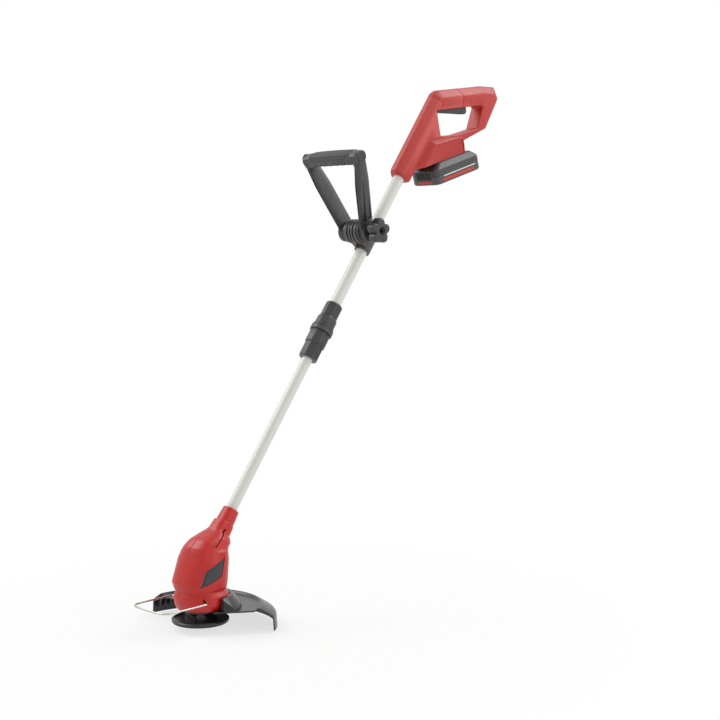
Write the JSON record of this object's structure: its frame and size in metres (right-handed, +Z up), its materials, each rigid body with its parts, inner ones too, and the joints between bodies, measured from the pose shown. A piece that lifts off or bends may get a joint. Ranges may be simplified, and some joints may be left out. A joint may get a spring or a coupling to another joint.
{
  "type": "cordless string trimmer",
  "caption": "Battery grass trimmer with a telescopic pole, adjustable front handle, half-round debris shield, folding wire guard and a swinging plastic blade on a disc.",
  "frame": {"origin": "on the cutter's axis, at the underside of the glide cap", "axes": "+Z up, along the cutter's axis; +X towards the tool's left side; -Y forward, to the wire guard"},
  "size_m": [0.2711, 1.0409, 1.0996],
  "materials": {
    "red_housing": "satin moulded red",
    "red_trim": "satin moulded red",
    "black_housing": "fine-textured charcoal",
    "black_nylon": "fine-textured charcoal",
    "soft_grip": "soft matt black",
    "white_tube": "satin off-white paint",
    "zinc_steel": "zinc plated",
    "guard_wire": "drawn spring wire",
    "copper": "tinned",
    "circuit_board": "lacquered green",
    "cell_sleeve": "shrink sleeve",
    "dark_plastic": "matt black",
    "blade_nylon": "moulded red nylon"
  },
  "bodies": {
    "pole_upper": {"upper_tube": "white_tube", "lock_sleeve": "black_nylon", "lock_collet": "dark_plastic", "rear_housing_left": "red_housing", "rear_housing_right": "red_housing", "rear_screw_1": "zinc_steel", "rear_screw_2": "zinc_steel", "rear_screw_3": "zinc_steel", "rear_screw_4": "zinc_steel", "terminal_block": "dark_plastic", "terminal_blade_left": "copper", "terminal_blade_right": "copper", "trigger_pin": "zinc_steel", "trigger_spring": "zinc_steel", "switch_body": "dark_plastic", "control_board": "circuit_board", "handle_lead": "dark_plastic"},
    "head": {"motor_housing_left": "red_housing", "motor_housing_right": "red_housing", "badge_left": "black_nylon", "badge_right": "black_nylon", "housing_screw_1": "zinc_steel", "housing_screw_2": "zinc_steel", "housing_screw_3": "zinc_steel", "housing_screw_4": "zinc_steel", "motor_mount": "zinc_steel", "motor_can": "zinc_steel", "motor_end_cap": "dark_plastic", "debris_shield": "black_housing", "shield_screw_left": "zinc_steel", "shield_screw_right": "zinc_steel", "lower_tube": "white_tube", "coiled_lead": "dark_plastic"},
    "cutter": {"cutter_disc": "black_nylon", "cutter_cap": "black_nylon", "motor_shaft": "zinc_steel"},
    "blade": {"cutting_blade": "blade_nylon"},
    "plant_guard": {"plant_guard_wire": "guard_wire"},
    "lock_nut": {"lock_nut": "black_nylon"},
    "clamp": {"clamp_body": "black_nylon", "toothed_washer_left": "black_nylon", "toothed_washer_right": "black_nylon", "clamp_bolt": "zinc_steel"},
    "aux_handle": {"front_handle_frame": "black_nylon", "grip_pad": "soft_grip", "grip_cap_left": "black_nylon", "grip_cap_right": "black_nylon"},
    "knob": {"clamp_knob": "black_nylon", "knob_nut": "copper"},
    "trigger": {"trigger": "black_nylon"},
    "lock_off": {"lock_off_button": "black_nylon"},
    "battery": {"battery_case_lower": "black_housing", "battery_case_upper": "black_housing", "cell_pack": "cell_sleeve", "battery_board": "circuit_board", "front_trim": "red_trim", "side_trim_left": "red_trim", "side_trim_right": "red_trim"},
    "latch": {"latch_button": "black_housing"}
  },
  "joints": [
    {"name": "pole_slide", "type": "slide", "parent": "pole_upper", "child": "head", "axis": [0, 0.5962, 0.8028], "range_m": [0, 0.2]},
    {"name": "cutter_spin", "type": "hinge", "parent": "head", "child": "cutter", "pos_m": [0, 0, 0.02], "axis": [0, 0, 1], "continuous": true},
    {"name": "blade_swing", "type": "hinge", "parent": "cutter", "child": "blade", "pos_m": [-0.02924, 0.02427, 0.016], "axis": [0, 0, 1], "range_deg": [-50, 50]},
    {"name": "plant_guard_fold", "type": "hinge", "parent": "head", "child": "plant_guard", "pos_m": [0, -0.027, 0.0585], "axis": [-1, 0, 0], "range_deg": [0, 75]},
    {"name": "lock_nut_turn", "type": "hinge", "parent": "pole_upper", "child": "lock_nut", "pos_m": [0, 0.28976, 0.49917], "axis": [0, 0.5962, 0.8028], "range_deg": [0, 90]},
    {"name": "clamp_slide", "type": "slide", "parent": "pole_upper", "child": "clamp", "axis": [0, 0.5962, 0.8028], "range_m": [-0.06, 0.06]},
    {"name": "aux_tilt", "type": "hinge", "parent": "clamp", "child": "aux_handle", "pos_m": [0, 0.43994, 0.76008], "axis": [1, 0, 0], "range_deg": [-45, 30]},
    {"name": "knob_turn", "type": "hinge", "parent": "clamp", "child": "knob", "pos_m": [0, 0.43994, 0.76008], "axis": [1, 0, 0], "range_deg": [0, 360]},
    {"name": "trigger_pull", "type": "hinge", "parent": "pole_upper", "child": "trigger", "pos_m": [0, 0.68566, 1.03717], "axis": [1, 0, 0], "range_deg": [0, 5], "stiffness_Nm_per_rad": 2, "springref_deg": -6.88},
    {"name": "lock_off_press", "type": "slide", "parent": "pole_upper", "child": "lock_off", "axis": [1, 0, 0], "range_m": [0, 0.004], "stiffness_N_per_m": 500, "springref_m": -0.002},
    {"name": "battery_slide", "type": "slide", "parent": "pole_upper", "child": "battery", "axis": [0, -0.9593, -0.2823], "range_m": [0, 0.045]},
    {"name": "latch_press", "type": "slide", "parent": "battery", "child": "latch", "axis": [0, 0.9593, 0.2823], "range_m": [0, 0.0025], "stiffness_N_per_m": 600, "springref_m": -0.002}
  ]
}
